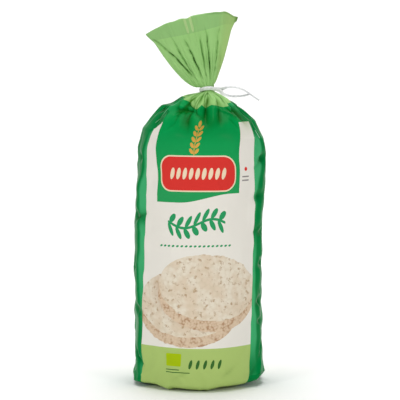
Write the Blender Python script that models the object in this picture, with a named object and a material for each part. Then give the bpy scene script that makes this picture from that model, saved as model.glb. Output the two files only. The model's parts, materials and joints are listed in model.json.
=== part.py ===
"""A tied bag of puffed rice cakes: printed film packed tight round a stack of round cakes.

The film stands as an upright drum, closes over the stack in a low gathered dome, is pinched
to a narrow neck by a flat wire-cored tie, and opens above it into a flared, flat-sealed fan.

Frame: the origin is the middle of the flat underside, +Z runs up the stack, and -Y faces
the front of the bag. Lengths are in metres and angles in radians.
"""
import math

import bmesh
import bpy
from mathutils import Matrix, Vector

# ---------------------------------------------------------------- driving dimensions

MM = 0.001

COLUMNS = 72                      # points round the film; front and back halves match
DRUM_RADIUS = 49.6 * MM           # film round a stack of cakes about 97 mm across
FOOT_RADIUS = 40.0 * MM           # flat part of the underside
HEEL_RADIUS = 5.0 * MM            # rounding where the underside turns up into the wall
HEEL_UNEVEN = 0.45                # the heel is this much rounder on the +X side
SHOULDER_START = 191.5 * MM       # height where the wall starts to close over the stack
NECK_HEIGHT = 226.9 * MM          # middle of the pinched neck
NECK_HALF_LENGTH = 2.5 * MM       # the tie covers this much film, up and down
NECK_RADIUS = 4.9 * MM
DOME_FULLNESS = 0.83              # 1 would make the dome's side a parabola

LEAN_AT_NECK = 6.2 * MM           # the stack leans to +X on its way up
LEAN_POWER = 2.2
BOW = 2.7 * MM                    # and its middle bows the other way
FRONT_CREASE = math.radians(60)   # fold lines between the front panel and the gussets
CREASE_PROUD = 0.9 * MM
CREASE_WIDTH = math.radians(5)
SAG_DEPTH = 0.7 * MM              # film between the creases hangs slack in slow dents
SLACK_WAVES = ((3, 34, 0.5), (5, -52, 1.9))   # waves round, waves up (per metre), phase
HEEL_EAR = 2.6 * MM               # gusset corners that stick out at the foot
HEEL_EAR_HEIGHT = 6.0 * MM
HEEL_EAR_SPREAD = 0.42            # half the angle that each of them takes up
SHOULDER_EAR = 4.5 * MM           # a gusset fold that stands proud on the dome's -X side
SHOULDER_EAR_HEIGHT = 217.5 * MM
SHOULDER_EAR_RISE = 5.0 * MM
SHOULDER_EAR_SPREAD = 0.45
SHOULDER_FALL = 6.4 * MM          # on the +X side the film falls in towards the stack
SHOULDER_FALL_HEIGHT = 209.0 * MM
SHOULDER_FALL_RISE = 13.0 * MM
SHOULDER_FALL_SPREAD = 0.8

DOME_PLEATS = 17
DOME_PLEAT_DEPTH = 2.6 * MM
PLEAT_PHASE = 2.04                # puts a valley in the middle of the front
PLEAT_WANDER = ((2, 0.9, 0.7), (3, 0.6, 2.1))   # waves round, size, phase: uneven spacing
RIDGE_ROUNDNESS = 0.8             # below 1 makes the ridges round and the valleys sharp
NECK_PLEAT_DEPTH = 0.6 * MM
WALL_TO_DOME = 14 * MM            # the wall's creases and dents die away over this height
DOME_TO_NECK = 14 * MM            # inside this radius the gathers shrink to the neck's

FAN_LEAN = math.radians(13.0)     # the fan tips over towards -X
FAN_SIDE_LENGTH = 50.5 * MM       # neck to the ends of the top seal, along the fan's axis
FAN_BULGE = 4.3 * MM              # the top edge rises this much more in the middle
LEFT_FLARE = (3.74 * MM, 0.535)   # half-width gained 1 mm up, and its power of the height
RIGHT_FLARE = (1.27 * MM, 0.797)
LEFT_SWEEP = 17.0 * MM            # how far the fan's wings curl back
RIGHT_SWEEP = 11.0 * MM
SEAL_TIP = 2.2 * MM               # the seal's ends stand out past the fan's edges
SEAL_START = 0.74                 # share of the fan's height where the flat seal begins
SEAL_RUFFLE = 0.25                # the share of the folds' depth that is left in the seal
SEAL_HALF_THICKNESS = 0.55 * MM
FAN_HALF_THICKNESS = 3.2 * MM
ROUND_TO_FLAT = 0.35              # share of the height where the gathered tube is flat
# Folds that run up the fan from the neck: place across it (-1 to 1) at the neck and at the
# seal, depth, half-width, and the share of the fan's height where the fold has died away.
FAN_VALLEYS = (
    (-0.42, -0.86, 4.0 * MM, 0.085, 0.90),
    (-0.45, -0.57, 2.2 * MM, 0.065, 0.85),
    (-0.12, -0.30, 3.8 * MM, 0.085, 0.72),
    (0.08, 0.12, 1.8 * MM, 0.065, 0.68),
    (0.34, 0.30, 3.2 * MM, 0.080, 0.82),
    (0.62, 0.66, 2.0 * MM, 0.090, 0.95),
)
FAN_WAVE_DEPTH = 1.4 * MM         # a slow wave across the fan, under its folds
FAN_WAVES = 1.6

FOOT_ROWS = (0.0, 0.35, 0.65, 1.0)
WALL_START = 13 * MM
WALL_ROWS = 21
DOME_ROWS = 12
DOME_CROWDING = 1.3               # above 1 sets the rows closer towards the neck
FAN_ROWS = 16
FAN_LAST_ROW = 0.95               # the last row of two layers, under the shut top edge

TIE_WIDTH = 3.4 * MM
TIE_THICKNESS = 0.55 * MM
TIE_CORE_RADIUS = 0.45 * MM       # the wire down the middle of the strip
TIE_CORE_SHOULDER = 1.4           # times that radius: where the strip thickens over the wire
TIE_GAP = 0.80 * MM               # between the tie and the film that it holds
TIE_TURN = (62, 298)              # degrees round the neck, between the two loose strands
TIE_TURN_POINTS = 20
STRAND_STEPS = 3                  # points on the curve for each of a strand's own points
# A loose strand's points: (x, y, z) from the neck's middle in millimetres, and its roll.
UPPER_STRAND = (
    (39.6, -0.6, -7.9, 80), (36.2, -0.5, -5.6, 85), (32.8, -0.3, -3.2, 88),
    (28.2, 0.0, -0.4, 90), (23.4, 0.3, 1.3, 90), (18.6, 0.6, 1.7, 85),
    (14.6, 1.0, 1.3, 55), (11.4, 1.1, 0.5, 12), (8.6, 2.2, 0.5, 0),
)
LOWER_STRAND = (
    (8.6, -2.2, 0.2, 0), (11.2, -1.3, -1.2, -12), (14.4, -1.5, -3.2, -35),
    (18.8, -1.5, -4.9, -50), (23.6, -1.2, -5.5, -58), (28.4, -0.8, -5.4, -66),
    (31.8, -0.6, -4.6, -80),
)


# ---------------------------------------------------------------- small helpers


def smooth_step(low, high, value):
    """0 below low, 1 above high, and a smooth ramp between them."""
    share = min(1.0, max(0.0, (value - low) / (high - low)))
    return share * share * (3 - 2 * share)


def bump(value, middle, width):
    """A bell of height 1 at the middle, about twice the width across."""
    return math.exp(-(((value - middle) / width) ** 2))


def mix(first, second, share):
    return first + (second - first) * share


def angle_between(first, second):
    """The unsigned angle between two directions round the bag."""
    return abs((first - second + math.pi) % (2 * math.pi) - math.pi)


# ---------------------------------------------------------------- the film's form


def uneven_pleats(turn):
    """Gathers of unlike width round the bag: 1 on a rounded ridge, -1 in a sharp valley."""
    wander = sum(size * math.sin(waves * turn + phase) for waves, size, phase in PLEAT_WANDER)
    ridge = abs(math.cos((DOME_PLEATS * turn + wander + PLEAT_PHASE) / 2))
    size = 0.75 + 0.25 * math.sin(5 * turn + 1.0)
    return (2 * ridge ** RIDGE_ROUNDNESS - 1) * size


def lean(height):
    """How far the stack's middle stands off the upright, towards +X."""
    rise = min(1.0, height / NECK_HEIGHT)
    return LEAN_AT_NECK * rise ** LEAN_POWER - BOW * math.sin(math.pi * rise)


def dome_radius(height):
    """The plain radius of the dome, from the drum's wall in to the neck."""
    top = NECK_HEIGHT - NECK_HALF_LENGTH
    climbed = min(1.0, max(0.0, (height - SHOULDER_START) / (top - SHOULDER_START)))
    return mix(NECK_RADIUS, DRUM_RADIUS, (1 - climbed ** 2) ** DOME_FULLNESS)


def creases(turn):
    """1 on each of the four fold lines where a panel meets a gusset, 0 between them."""
    lines = (FRONT_CREASE, math.pi - FRONT_CREASE)
    return sum(bump(angle_between(turn, side * line), 0, CREASE_WIDTH)
               for line in lines for side in (1, -1))


def slack(turn, height):
    """Slow dents in the loose film, so that the wall isn't a turned cylinder."""
    waves = [math.sin(across * turn + up * height + phase) for across, up, phase in SLACK_WAVES]
    return SAG_DEPTH * sum(waves) / len(waves)


def side_bump(turn, side, spread):
    """1 in the middle of the gusset on one side of the bag, 0 away from it."""
    return bump(angle_between(turn, side * math.pi / 2), 0, spread)


def wall_point(turn, height):
    """A point on the drum or the dome."""
    radius = dome_radius(height)
    on_wall = 1 - smooth_step(SHOULDER_START, SHOULDER_START + WALL_TO_DOME, height)
    radius += on_wall * (CREASE_PROUD * creases(turn) + slack(turn, height))
    at_heel = bump(height, HEEL_EAR_HEIGHT, HEEL_EAR_HEIGHT)
    radius += HEEL_EAR * at_heel * sum(side_bump(turn, side, HEEL_EAR_SPREAD) for side in (1, -1))
    at_ear = bump(height, SHOULDER_EAR_HEIGHT, SHOULDER_EAR_RISE)
    radius += SHOULDER_EAR * at_ear * side_bump(turn, -1, SHOULDER_EAR_SPREAD)
    at_fall = bump(height, SHOULDER_FALL_HEIGHT, SHOULDER_FALL_RISE)
    radius -= SHOULDER_FALL * at_fall * side_bump(turn, 1, SHOULDER_FALL_SPREAD)
    pinched = smooth_step(DRUM_RADIUS, DRUM_RADIUS / 2, radius)
    at_neck = smooth_step(DOME_TO_NECK, NECK_RADIUS, radius)
    depth = mix(DOME_PLEAT_DEPTH * pinched, NECK_PLEAT_DEPTH, at_neck)
    radius += depth * uneven_pleats(turn)
    return Vector((lean(height) + radius * math.sin(turn), -radius * math.cos(turn), height))


def foot_point(turn, share):
    """A point on the heel, from the flat underside (share 0) up to the wall (share 1)."""
    swing = share * math.pi / 2
    height = HEEL_RADIUS * (1 + HEEL_UNEVEN * math.sin(turn))
    wall = wall_point(turn, height)
    rim = Vector((FOOT_RADIUS * math.sin(turn), -FOOT_RADIUS * math.cos(turn), 0))
    out = mix(rim, wall, math.sin(swing))
    out.z = height * (1 - math.cos(swing))
    return out


def fan_half_width(share, across):
    """The fan's half-width on one side (across from -1 to 1) at a share of its height."""
    climb = share * FAN_SIDE_LENGTH / MM
    left, right = (gain * climb ** power for gain, power in (LEFT_FLARE, RIGHT_FLARE))
    tip = SEAL_TIP * smooth_step(0.8, 1.0, share) * smooth_step(0.75, 1.0, abs(across))
    return NECK_RADIUS + mix(left, right, smooth_step(-1, 1, across)) + tip


def fan_folds(across, share):
    """How far both layers lie back in the folds that run up the fan from the neck."""
    grown = smooth_step(0.0, ROUND_TO_FLAT, share)
    wave = FAN_WAVE_DEPTH * math.cos(math.pi * FAN_WAVES * across)
    folds = sum(depth * bump(across, mix(at_neck, at_seal, share / SEAL_START), width)
                * (1 - smooth_step(0.7 * end, end, share))
                for at_neck, at_seal, depth, width, end in FAN_VALLEYS)
    sealed = smooth_step(ROUND_TO_FLAT, SEAL_START, share)
    return grown * (wave * mix(1, SEAL_RUFFLE, sealed) + folds)


def fan_point(turn, share):
    """A point on the fan at a share of its height: 0 at the neck, 1 at its top edge."""
    flat = smooth_step(0.0, ROUND_TO_FLAT, share)
    even = turn / (math.pi / 2)
    if abs(even) > 1:                      # the back layer runs back from end to end
        even = math.copysign(2, even) - even
    across = mix(math.sin(turn), even, flat)
    climb = share * (FAN_SIDE_LENGTH + FAN_BULGE * (1 - across ** 2))
    half_width = fan_half_width(share, across)
    half_depth = mix(NECK_RADIUS, FAN_HALF_THICKNESS, smooth_step(0.0, ROUND_TO_FLAT, share))
    sealed = smooth_step(ROUND_TO_FLAT, SEAL_START, share)
    half_depth = mix(half_depth, SEAL_HALF_THICKNESS, sealed)
    if share == 1:
        half_depth = 0                     # the two layers end in one edge
    sweep = mix(LEFT_SWEEP, RIGHT_SWEEP, smooth_step(-1, 1, across))
    swing = sweep * share ** 1.5 * across ** 2
    gather = NECK_PLEAT_DEPTH * uneven_pleats(turn) * (1 - flat)
    local = Vector((
        across * half_width + gather * math.sin(turn),
        swing + fan_folds(across, share) - (half_depth + gather) * math.cos(turn),
        climb + NECK_HALF_LENGTH,
    ))
    tipped = Matrix.Rotation(-FAN_LEAN, 3, "Y") @ local
    return Vector((lean(NECK_HEIGHT), 0, NECK_HEIGHT)) + tipped


def neck_point(turn, share):
    """A point on the pinched neck, which turns from upright to the fan's lean."""
    below = wall_point(turn, NECK_HEIGHT - NECK_HALF_LENGTH)
    return mix(below, fan_point(turn, 0), share)


def spaced(first, last, count):
    """Evenly spaced values from first to last, both included."""
    return [mix(first, last, i / (count - 1)) for i in range(count)]


def film_rows():
    """The rows of film from the underside to the top seal, as (function, value) pairs."""
    neck_foot = NECK_HEIGHT - NECK_HALF_LENGTH
    wall = spaced(WALL_START, SHOULDER_START, WALL_ROWS)[:-1]
    wall += [mix(SHOULDER_START, neck_foot, 1 - (1 - share) ** DOME_CROWDING)
             for share in spaced(0, 1, DOME_ROWS)]
    rows = [(foot_point, share) for share in FOOT_ROWS]
    rows += [(wall_point, height) for height in wall]
    rows += [(neck_point, 0.5)]
    rows += [(fan_point, share) for share in spaced(0, FAN_LAST_ROW, FAN_ROWS) + [1]]
    return rows


# ---------------------------------------------------------------- the tie's route


def catmull(before, start, end, after, share):
    """A point on the smooth curve from start to end, given their neighbours."""
    return 0.5 * ((2 * start) + (end - before) * share
                  + (2 * before - 5 * start + 4 * end - after) * share ** 2
                  + (3 * start - before - 3 * end + after) * share ** 3)


def round_neck():
    """The strip's one turn round the neck, which is tipped a little with the fan's lean."""
    radius = (NECK_RADIUS + NECK_PLEAT_DEPTH + TIE_GAP + TIE_CORE_RADIUS) / MM
    tip = math.tan(FAN_LEAN / 3)
    turns = [math.radians(angle) for angle in spaced(*TIE_TURN, TIE_TURN_POINTS)]
    return [(radius * math.cos(turn), radius * math.sin(turn), tip * radius * math.cos(turn), 0)
            for turn in turns]


def tie_route():
    """The strip's centreline, as points (x, y, z, roll) of one smooth curve.

    A roll of 0 stands the strip on edge, as it lies round the neck, and a quarter turn lays
    it flat. It runs from the loose tail, over the open loop, once round the neck, and back
    under the loop to end tucked below itself.
    """
    stations = [Vector(point) for point in (*UPPER_STRAND, *round_neck(), *LOWER_STRAND)]
    padded = [stations[0] * 2 - stations[1], *stations, stations[-1] * 2 - stations[-2]]
    first_on_neck = len(UPPER_STRAND)
    found = []
    for i in range(len(stations) - 1):
        on_neck = first_on_neck - 1 <= i < first_on_neck + TIE_TURN_POINTS - 1
        steps = 1 if on_neck else STRAND_STEPS
        found += [catmull(*padded[i:i + 4], step / steps) for step in range(steps)]
    return found + [stations[-1]]


# ---------------------------------------------------------------- objects


def material(name, colour, roughness):
    made = bpy.data.materials.new(name)
    made.use_nodes = True
    shader = made.node_tree.nodes["Principled BSDF"]
    shader.inputs["Base Color"].default_value = (*colour, 1)
    shader.inputs["Roughness"].default_value = roughness
    shader.inputs["Metallic"].default_value = 0.0
    return made


def extruded_ring(bm, ring):
    """Extrudes a closed ring of vertices, and returns the new ring in the same order."""
    edges = [bm.edges.get(pair) for pair in zip(ring, ring[1:] + ring[:1])]
    grown = set(bmesh.ops.extrude_edge_only(bm, edges=edges)["geom"])
    return [next(edge.other_vert(old) for edge in old.link_edges
                 if edge.other_vert(old) in grown) for old in ring]


def film_bag(collection):
    """The packed bag: a ring of film extruded row by row up to the sealed top edge."""
    bm = bmesh.new()
    turns = [2 * math.pi * i / COLUMNS for i in range(COLUMNS)]
    turns = [turn if turn <= math.pi else turn - 2 * math.pi for turn in turns]
    ring = bmesh.ops.create_circle(bm, cap_ends=True, segments=COLUMNS, radius=1)["verts"]
    for number, (make_point, value) in enumerate(film_rows()):
        if number > 0:
            ring = extruded_ring(bm, ring)
        for vert, turn in zip(ring, turns):
            vert.co = make_point(turn, value)
    bmesh.ops.remove_doubles(bm, verts=ring, dist=0.01 * MM)
    bmesh.ops.recalc_face_normals(bm, faces=bm.faces)
    if bm.calc_volume(signed=True) < 0:
        bmesh.ops.reverse_faces(bm, faces=bm.faces)
    mesh = bpy.data.meshes.new("film_bag")
    bm.to_mesh(mesh)
    bm.free()
    mesh.materials.append(material("printed_film", (0.02, 0.30, 0.10), 0.42))
    mesh.shade_smooth()
    bag = bpy.data.objects.new("film_bag", mesh)
    collection.objects.link(bag)
    return bag


def strip_section(helpers):
    """The tie's cross-section: a thin flat strip, thicker where the wire runs inside it."""
    half, thin, core = TIE_WIDTH / 2, TIE_THICKNESS / 2, TIE_CORE_RADIUS
    foot = TIE_CORE_SHOULDER * core
    side = [(thin, -half), (thin, -foot), (core, -core / 2),
            (core, core / 2), (thin, foot), (thin, half)]
    outline = [(x, -y) for x, y in side] + [(-x, y) for x, y in side]
    curve = bpy.data.curves.new("strip_section", "CURVE")
    curve.dimensions = "2D"
    spline = curve.splines.new("POLY")
    spline.points.add(len(outline) - 1)
    for point, (x, y) in zip(spline.points, outline):
        point.co = (x, y, 0, 1)
    spline.use_cyclic_u = True
    section = bpy.data.objects.new("strip_section", curve)
    section.hide_render = True
    section.display_type = "WIRE"
    helpers.objects.link(section)
    return section


def tie(collection, helpers):
    """The flat wire-cored strip that holds the neck shut, with its loose ends to one side."""
    curve = bpy.data.curves.new("tie", "CURVE")
    curve.dimensions = "3D"
    curve.twist_mode = "Z_UP"
    curve.bevel_mode = "OBJECT"
    curve.bevel_object = strip_section(helpers)
    curve.use_fill_caps = True
    route = tie_route()
    spline = curve.splines.new("POLY")
    spline.points.add(len(route) - 1)
    for point, (x, y, z, roll) in zip(spline.points, route):
        point.co = (x * MM, y * MM, z * MM, 1)
        point.tilt = math.radians(roll)
    curve.materials.append(material("tie_plastic", (0.80, 0.81, 0.80), 0.35))
    made = bpy.data.objects.new("tie", curve)
    made.location = (lean(NECK_HEIGHT), 0, NECK_HEIGHT)
    collection.objects.link(made)
    return made


def main():
    for old in list(bpy.data.objects):
        bpy.data.objects.remove(old)
    collection = bpy.data.collections.new("rice_cake_bag")
    helpers = bpy.data.collections.new("guides")
    for group in (collection, helpers):
        bpy.context.scene.collection.children.link(group)
    film_bag(collection)
    tie(collection, helpers)


main()
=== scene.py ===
# %% [markdown]
# # A tied bag of puffed rice cakes
#
# The object is a tall bag of printed plastic film, packed round a stack of round rice cakes.
# Film is thin and shiny, and it can't stretch, so wherever it has too much width it has to
# fold: in the gathers under the tie, in the flared top above it, and in soft dents down the
# sides. Those folds are most of what the eye sees, so they are modelled as real shape.
#
# The script loads the finished solids first. They stay the frame that everything fits.

# %% Load the frame
import json
import math
from functools import lru_cache, partial

import bmesh
import bpy
from mathutils import Matrix, Vector, noise

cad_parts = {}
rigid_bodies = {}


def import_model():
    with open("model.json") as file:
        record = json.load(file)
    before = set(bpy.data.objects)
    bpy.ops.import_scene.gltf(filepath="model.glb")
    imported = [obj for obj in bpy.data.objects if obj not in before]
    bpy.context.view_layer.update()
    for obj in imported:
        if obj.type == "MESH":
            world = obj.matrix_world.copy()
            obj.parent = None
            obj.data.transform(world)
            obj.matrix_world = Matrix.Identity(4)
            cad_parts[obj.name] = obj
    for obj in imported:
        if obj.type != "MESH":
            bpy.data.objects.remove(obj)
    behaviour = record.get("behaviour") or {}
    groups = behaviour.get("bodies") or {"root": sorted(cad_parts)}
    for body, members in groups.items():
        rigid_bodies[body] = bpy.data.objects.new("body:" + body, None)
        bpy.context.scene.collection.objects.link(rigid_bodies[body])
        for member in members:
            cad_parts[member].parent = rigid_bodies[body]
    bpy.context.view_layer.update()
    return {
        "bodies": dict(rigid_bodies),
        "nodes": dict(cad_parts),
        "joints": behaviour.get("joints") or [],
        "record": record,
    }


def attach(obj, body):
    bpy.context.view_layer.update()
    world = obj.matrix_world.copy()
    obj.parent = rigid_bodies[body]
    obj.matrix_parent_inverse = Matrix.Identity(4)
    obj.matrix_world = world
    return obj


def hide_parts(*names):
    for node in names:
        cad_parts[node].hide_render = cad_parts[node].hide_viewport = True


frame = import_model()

MM = 0.001

# %% [markdown]
# ## Camera
#
# A long lens from well back keeps the sides of the bag upright, as in a catalogue picture.
# The camera stands a little above the middle of the bag and looks slightly down, so the flat
# underside shows as a shallow curve and the gathers under the tie can be seen.

# %% Make the camera
CAMERA_PLACE = Vector((0.0002, -1.40, 0.272))
CAMERA_TARGET = Vector((0.0002, 0.0, 0.1413))
CAMERA_LENS = 163.8

lens = bpy.data.cameras.new("studio_camera")
lens.lens = CAMERA_LENS
lens.sensor_width = 36.0
camera = bpy.data.objects.new("studio_camera", lens)
camera.location = CAMERA_PLACE
camera.rotation_euler = (CAMERA_TARGET - CAMERA_PLACE).to_track_quat("-Z", "Y").to_euler()
bpy.context.scene.collection.objects.link(camera)
bpy.context.scene.camera = camera
bpy.context.scene.view_settings.view_transform = "Standard"
print("camera looks down", round(math.degrees(math.pi / 2 - camera.rotation_euler.x), 1), "degrees")

# %% [markdown]
# ## Small helpers
#
# Soft shapes are mixed from a few simple curves. A smooth step goes from 0 to 1, a bump is a
# bell, and a mix goes from one value to another. Everything below is built from these.

# %% Curves that blend one shape into another


def clamp(value):
    return min(1.0, max(0.0, value))


def smooth_step(low, high, value):
    """0 at low, 1 at high, and a smooth ramp between them. It may also run downwards."""
    share = clamp((value - low) / (high - low))
    return share * share * (3 - 2 * share)


def bump(value, middle, width):
    """A bell of height 1 at the middle, about twice the width across."""
    return math.exp(-(((value - middle) / width) ** 2))


def mix(first, second, share):
    return first + (second - first) * share


def spaced(first, last, count):
    """Evenly spaced values from first to last, both included."""
    return [mix(first, last, i / (count - 1)) for i in range(count)]


def angle_between(first, second):
    """The unsigned angle between two directions round the bag."""
    return abs((first - second + math.pi) % (2 * math.pi) - math.pi)


print("half way up a smooth step:", smooth_step(0, 2, 1))

# %% [markdown]
# ## The bag's form
#
# The real bag is a tube of film. Its own coordinates are the way round it (`turn`, 0 at the
# front) and the way up it, and everything is worked out from those two: the drum round the
# stack, the dome, the pinched neck and the fan. It could be a cylinder with sculpted folds,
# but then the print would stretch. Built row by row, the film keeps its own coordinates,
# so the print can be laid on it flat, as it was printed.
#
# These are the solid model's driving sizes. They are repeated here, because the folds below
# are finer than the solid's but have to lie on the same form.

# %% Driving sizes
DRUM_RADIUS = 49.6 * MM
FOOT_RADIUS = 40.0 * MM
HEEL_RADIUS = 5.0 * MM
HEEL_UNEVEN = 0.45
SHOULDER_START = 191.5 * MM
NECK_HEIGHT = 226.9 * MM
NECK_HALF_LENGTH = 2.5 * MM
DOME_TOP = NECK_HEIGHT - 1.75 * MM
NECK_RADIUS = 4.9 * MM
DOME_FULLNESS = 0.83
LEAN_AT_NECK = 6.2 * MM
LEAN_POWER = 2.2
BOW = 2.7 * MM
GUSSET_CORNERS = {-1: math.radians(62), 1: math.radians(67)}    # left and right of the front

FAN_LEAN = math.radians(13.0)
FAN_SIDE_LENGTH = 50.5 * MM
FAN_BULGE = 4.3 * MM
LEFT_FLARE = (3.74 * MM, 0.535)
RIGHT_FLARE = (1.27 * MM, 0.797)
LEFT_SWEEP = 17.0 * MM
RIGHT_SWEEP = 11.0 * MM
SEAL_TIP = 2.2 * MM
SEAL_TAB = 1.3 * MM                   # the right-hand corner is folded over into a small tab
SEAL_START = 0.74
ROUND_TO_FLAT = 0.35


def lean(height):
    """How far the stack's middle stands off the upright, towards +X."""
    rise = min(1.0, height / NECK_HEIGHT)
    return LEAN_AT_NECK * rise ** LEAN_POWER - BOW * math.sin(math.pi * rise)


def dome_radius(height):
    """The plain radius of the dome, from the drum's wall in to the neck."""
    climbed = clamp((height - SHOULDER_START) / (DOME_TOP - SHOULDER_START))
    return mix(NECK_RADIUS, DRUM_RADIUS, (1 - climbed ** 2) ** DOME_FULLNESS)


print("the stack leans", round(lean(NECK_HEIGHT) / MM, 1), "mm at the neck")

# %% [markdown]
# ## Folds in the drum and the dome
#
# Film round a stack of cakes isn't a cylinder. Four fold lines run up it, where the flat
# front and back panels meet the side gussets, and each gusset keeps a crease down its middle.
# Loose film between them lies in slow dents and short sharp creases. Under the tie, the whole
# width is gathered: round ridges with narrow dark valleys between them, as in a drawstring.
#
# The creases come from ridged noise, which is flat almost everywhere and sharp along thin
# lines. That is how film that can't stretch really bends.

# %% Folds that run round the bag
CORNER_PROUD = 2.6 * MM
CORNER_SLOPES = (math.radians(16), math.radians(17))     # on the panel's side, and the gusset's
CORNER_WANDER = math.radians(7)
# The gussets carry a painted sheen: a lighter strip between each front panel and the gusset's corner.
SHEEN_INSETS = {-1: math.radians(3.0), 1: math.radians(6.5)}
BUCKLE_DEPTH = 2.4 * MM
SHEEN_GAPS = {       # height and size, in mm, where the painted sheen strip of each side fades
    1: ((122, 15), (204, 9), (14, 14)),
    -1: ((130, 5), (38, 34), (204, 14)),
}
BUCKLES = {            # degrees round from the front, height in mm, size in mm, for each side
    1: ((62, 147, 9), (67, 119, 7), (70, 95, 8), (70, 66, 9), (70, 50, 6), (74, 30, 7),
        (66, 176, 8), (118, 160, 9), (112, 101, 8), (120, 58, 9)),
    -1: ((69, 133, 8), (76, 92, 7), (64, 60, 9), (72, 27, 8), (70, 176, 8), (115, 140, 9),
         (122, 84, 8), (110, 40, 9)),
}
SLACK_WAVES = ((3, 34, 0.5), (5, -52, 1.9))
SAG_DEPTH = 0.7 * MM
CAKE_PITCH = 14.0 * MM
CAKE_RIPPLE = 0.22 * MM
GUSSET_FOLD = 2.0 * MM
CRUMPLE_FRONT = 0.55 * MM
CRUMPLE_SIDE = 1.1 * MM
CRUMPLE_FOOT = 1.3 * MM

DOME_PLEATS = 17
DOME_PLEAT_DEPTH = 2.6 * MM
PLEAT_PHASE = 2.04
PLEAT_WANDER = ((2, 0.9, 0.7), (3, 0.6, 2.1))
RIDGE_ROUNDNESS = 0.5
NECK_PLEAT_DEPTH = 0.6 * MM
STREAKS = 6.4
STREAK_LENGTH = 24 * MM
STREAK_DEPTH = 2.0 * MM
LAP_WIDTH = math.radians(13)          # the film laps over itself down the middle of the back
LAP_STEP = 0.55 * MM
DOME_TO_NECK = 14 * MM


def uneven_pleats(turn):
    """Gathers of unlike width round the bag: 1 on a rounded ridge, -1 in a sharp valley."""
    wander = sum(size * math.sin(waves * turn + phase) for waves, size, phase in PLEAT_WANDER)
    ridge = abs(math.cos((DOME_PLEATS * turn + wander + PLEAT_PHASE) / 2))
    size = 0.75 + 0.25 * math.sin(5 * turn + 1.0)
    return (2 * ridge ** RIDGE_ROUNDNESS - 1) * size


def crumple(turn, height, grain, seed):
    """Creases in stiff film: 1 along thin lines, falling away to about 0 between them.

    The noise is read round a circle, so it closes on itself behind the bag.
    """
    place = Vector((math.sin(turn), -math.cos(turn), height / DRUM_RADIUS)) * DRUM_RADIUS / grain
    return 1 - min(1.0, 3.2 * abs(noise.noise(place + Vector((seed, 0, 0)))))


def streaks(turn, length):
    """Thin creases that the tie draws down the dome: 1 in a crease, 0 between them."""
    place = Vector((math.sin(turn) * STREAKS, -math.cos(turn) * STREAKS, length / STREAK_LENGTH))
    found = 1 - min(1.0, 3.8 * abs(noise.noise(place)))
    return found ** 1.3 * clamp(0.65 + 1.6 * noise.noise(place * 0.4))


def at_side(turn, spread=0.55):
    """1 in the middle of either gusset, 0 on the front and back panels."""
    return sum(bump(angle_between(turn, side * math.pi / 2), 0, spread) for side in (1, -1))


def gusset_corners(turn, height):
    """1 on each corner of the gussets, falling away evenly, so that flat facets meet there."""
    found = 0.0
    for side, corner in GUSSET_CORNERS.items():
        for number, line in enumerate((corner, math.pi - corner)):
            sway = noise.noise(Vector((height * 26, number * 4 + side, 3.1)))
            sway += 0.5 * noise.noise(Vector((height * 70, number * 4 + side, 8.2)))
            past = math.remainder(side * turn - line - CORNER_WANDER * sway, 2 * math.pi)
            slope = CORNER_SLOPES[(past > 0) != (number > 0)]
            found = max(found, 1 - abs(past) / slope)
    return found


def sheen_strip(turn, height):
    """Painted sheen: 1 on the strip of gusset between a front panel and the gusset's corner."""
    side = 1 if turn > 0 else -1
    sway = noise.noise(Vector((height * 26, side, 3.1)))
    sway += 0.5 * noise.noise(Vector((height * 70, side, 8.2)))
    corner = GUSSET_CORNERS[side] + CORNER_WANDER * sway - SHEEN_INSETS[side]
    painted_sheen = smooth_step(corner + math.radians(1.5), corner - math.radians(1.5), abs(turn))
    for level, size in SHEEN_GAPS[side]:
        painted_sheen *= 1 - 0.85 * bump(height / MM, level, size)
    return painted_sheen


def buckles(turn, height):
    """1 in the middle of each short dent that kinks a gusset: wide, but not high."""
    found = 0.0
    for side, dents in BUCKLES.items():
        for angle, level, size in dents:
            across = angle_between(turn, side * math.radians(angle)) * DRUM_RADIUS / MM / size
            skew = math.remainder(side * turn - math.radians(angle), 2 * math.pi)
            up = (height / MM - level) / size - 1.2 * skew
            found += max(0.0, 1 - math.hypot(across, 1.7 * up))
    return found


def wall_relief(turn, height):
    """How far the loose film of the wall stands off the plain drum."""
    waves = [math.sin(across * turn + up * height + phase) for across, up, phase in SLACK_WAVES]
    relief = SAG_DEPTH * sum(waves) / len(waves)
    relief += CORNER_PROUD * gusset_corners(turn, height)
    relief -= BUCKLE_DEPTH * buckles(turn, height)
    side = at_side(turn)
    ripple = abs(math.cos(math.pi * height / CAKE_PITCH)) - 0.6
    relief += CAKE_RIPPLE * ripple * (0.6 + side)
    wander = 0.16 * noise.noise(Vector((height * 30, math.copysign(5, turn), 0)))
    middle = sum(math.exp(-angle_between(turn, line + wander) / 0.05)
                 for line in (math.pi / 2, -math.pi / 2))
    relief -= GUSSET_FOLD * middle
    relief += mix(CRUMPLE_FRONT, CRUMPLE_SIDE, side) * crumple(turn, height, 30 * MM, 0.0)
    past_lap = angle_between(turn, math.pi) / LAP_WIDTH
    relief += LAP_STEP * smooth_step(1.06, 0.94, past_lap)
    near_foot = bump(height, 6 * MM, 14 * MM)
    relief += CRUMPLE_FOOT * near_foot * (crumple(turn, height, 17 * MM, 9.0) - 0.3)
    return relief


print("a valley of the gathers at the front:", round(uneven_pleats(0.0), 2))

# %% [markdown]
# ### The large creases, one by one
#
# The largest folds aren't even, so no formula gives them: the film was stuffed into its tie by
# hand. Each is a line on the film with a depth and a width, as a sculptor would score it. A
# valley has a positive depth and a ridge has a negative one. The shoulders aren't even either.
# On the left the gusset stands up as an ear, and on the right it falls in over the top cake.

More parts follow.
